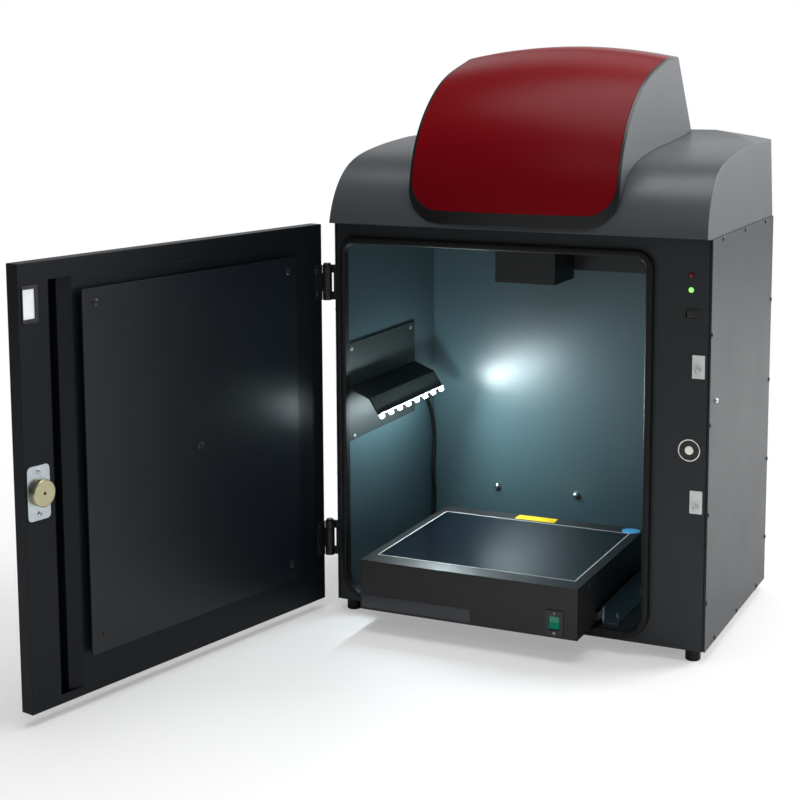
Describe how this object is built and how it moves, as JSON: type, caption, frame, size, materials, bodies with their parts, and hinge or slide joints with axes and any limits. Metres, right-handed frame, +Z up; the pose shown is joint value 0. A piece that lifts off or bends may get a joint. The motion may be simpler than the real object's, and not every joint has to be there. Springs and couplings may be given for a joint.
{
  "type": "gel documentation system",
  "caption": "Benchtop darkroom cabinet with a hinged door, a slide-out ultraviolet lamp case and a domed camera hood under a red cover.",
  "frame": {"origin": "on the bench under the middle of the whole object as it stands with its door open, in the plane of the feet", "axes": "+Z up, +X to the right and +Y to the back, seen from in front of the door opening"},
  "size_m": [0.6176, 0.7796, 0.7139],
  "materials": {
    "base_pan": "dark charcoal powder coat, satin",
    "front_panel": "dark charcoal powder coat, satin",
    "left_side_panel": "dark charcoal powder coat, satin",
    "right_side_panel": "dark charcoal powder coat, satin",
    "back_panel": "dark charcoal powder coat, satin",
    "top_deck": "dark charcoal powder coat, satin",
    "chamber_left_wall": "textured blue grey paint",
    "chamber_right_wall": "textured blue grey paint",
    "chamber_back_wall": "textured blue grey paint",
    "chamber_ceiling": "textured blue grey paint",
    "door_gasket": "soft black rubber with a sheen",
    "feet": "black rubber",
    "panel_screws": "blackened steel",
    "bright_fasteners": "bright zinc plate",
    "catch_magnet": "nickel plate",
    "interlock_switches": "pale grey plastic",
    "upper_interlock_peg": "grey plastic",
    "lower_interlock_peg": "grey plastic",
    "indicator_lamps": "clear tinted plastic",
    "power_switch_frame": "black moulded plastic",
    "power_switch_rocker": "black moulded plastic",
    "hinge_frame_leaves": "black paint, satin",
    "hinge_door_leaves": "black paint, satin",
    "hinge_pins": "blackened steel",
    "hood_shell": "dark charcoal paint, satin",
    "dome_shell": "dark charcoal paint, satin",
    "cover_trim": "black trim",
    "red_cover": "deep red, satin gloss",
    "camera_body": "black paint, satin",
    "camera_bracket": "bare sheet",
    "lens_barrel": "black paint, satin",
    "zoom_ring": "black moulded plastic",
    "focus_ring": "black moulded plastic",
    "filter_box": "black paint, satin",
    "emission_filter": "amber interference filter",
    "ceiling_baffle": "black paint, satin",
    "power_supply": "galvanised sheet",
    "power_inlet": "black moulded plastic",
    "led_bracket": "textured blue grey paint",
    "led_board": "white lacquered board",
    "leds": "white light emitting lens",
    "led_cable": "black sheath",
    "lamp_case": "black brown paint, satin",
    "lamp_case_lid": "black brown paint, satin",
    "filter_glass": "near black ultraviolet filter glass",
    "uv_lamps": "dark violet lamp glass",
    "lamp_ballast": "bare sheet",
    "tray_switch_frame": "black moulded plastic",
    "tray_switch_rocker": "green lens in a black rocker",
    "tray_slides": "zinc plate",
    "fixed_rails": "zinc plate",
    "door_panel": "dark charcoal powder coat, satin",
    "door_liner": "dark charcoal powder coat, satin",
    "door_baffle": "black paint, satin",
    "baffle_fixings": "blackened steel",
    "door_screws": "bright zinc plate",
    "window_frame": "dark grey plastic",
    "window_pane": "clear ultraviolet blocking acrylic",
    "latch_plate": "bluish zinc plate",
    "latch_disc": "yellow zinc plate"
  },
  "bodies": {
    "cabinet": {"base_pan": "base_pan", "front_panel": "front_panel", "left_side_panel": "left_side_panel", "right_side_panel": "right_side_panel", "back_panel": "back_panel", "top_deck": "top_deck", "chamber_left_wall": "chamber_left_wall", "chamber_right_wall": "chamber_right_wall", "chamber_back_wall": "chamber_back_wall", "chamber_ceiling": "chamber_ceiling", "door_gasket": "door_gasket", "feet": "feet", "panel_screws": "panel_screws", "bright_fasteners": "bright_fasteners", "catch_magnet": "catch_magnet", "interlock_switches": "interlock_switches", "indicator_lamps": "indicator_lamps", "power_switch_frame": "power_switch_frame", "hinge_frame_leaves": "hinge_frame_leaves", "hinge_pins": "hinge_pins", "hood_shell": "hood_shell", "dome_shell": "dome_shell", "cover_trim": "cover_trim", "red_cover": "red_cover", "camera_body": "camera_body", "camera_bracket": "camera_bracket", "lens_barrel": "lens_barrel", "filter_box": "filter_box", "emission_filter": "emission_filter", "ceiling_baffle": "ceiling_baffle", "power_supply": "power_supply", "power_inlet": "power_inlet", "led_bracket": "led_bracket", "led_board": "led_board", "leds": "leds", "led_cable": "led_cable", "fixed_rails": "fixed_rails"},
    "door": {"door_panel": "door_panel", "door_liner": "door_liner", "door_baffle": "door_baffle", "baffle_fixings": "baffle_fixings", "door_screws": "door_screws", "window_frame": "window_frame", "window_pane": "window_pane", "latch_plate": "latch_plate", "latch_disc": "latch_disc", "hinge_door_leaves": "hinge_door_leaves"},
    "tray": {"lamp_case": "lamp_case", "lamp_case_lid": "lamp_case_lid", "filter_glass": "filter_glass", "uv_lamps": "uv_lamps", "lamp_ballast": "lamp_ballast", "tray_switch_frame": "tray_switch_frame", "tray_slides": "tray_slides"},
    "tray_rocker": {"tray_switch_rocker": "tray_switch_rocker"},
    "power_rocker": {"power_switch_rocker": "power_switch_rocker"},
    "upper_peg": {"upper_interlock_peg": "upper_interlock_peg"},
    "lower_peg": {"lower_interlock_peg": "lower_interlock_peg"},
    "zoom": {"zoom_ring": "zoom_ring"},
    "focus": {"focus_ring": "focus_ring"}
  },
  "joints": [
    {"name": "door_hinge", "type": "hinge", "parent": "cabinet", "child": "door", "pos_m": [-0.18185, 0.082, 0.254], "axis": [0, 0, 1], "range_deg": [-47.6, 102.4]},
    {"name": "tray_slide", "type": "slide", "parent": "cabinet", "child": "tray", "axis": [0, 1, 0], "range_m": [-0.031, 0.0666]},
    {"name": "tray_switch", "type": "hinge", "parent": "tray", "child": "tray_rocker", "pos_m": [0.14385, 0.0252, 0.047], "axis": [1, 0, 0], "range_deg": [0, 16]},
    {"name": "power_switch", "type": "hinge", "parent": "cabinet", "child": "power_rocker", "pos_m": [0.28345, 0.089, 0.411], "axis": [0, 0, 1], "range_deg": [-16, 0]},
    {"name": "upper_peg_push", "type": "slide", "parent": "cabinet", "child": "upper_peg", "axis": [0, 1, 0], "range_m": [-0.0029, 0.0061]},
    {"name": "lower_peg_push", "type": "slide", "parent": "cabinet", "child": "lower_peg", "axis": [0, 1, 0], "range_m": [-0.0029, 0.0061]},
    {"name": "lens_zoom", "type": "hinge", "parent": "cabinet", "child": "zoom", "pos_m": [0.03665, 0.2365, 0.515], "axis": [0, 0, 1], "range_deg": [-60, 60]},
    {"name": "lens_focus", "type": "hinge", "parent": "cabinet", "child": "focus", "pos_m": [0.03665, 0.2365, 0.547], "axis": [0, 0, 1], "range_deg": [-90, 90]}
  ],
  "couplings": [
    {"joint": "tray_slide", "follows": "door_hinge", "m_per_rad": 0.037209},
    {"joint": "upper_peg_push", "follows": "door_hinge", "m_per_rad": 0.003357},
    {"joint": "lower_peg_push", "follows": "door_hinge", "m_per_rad": 0.003357}
  ]
}
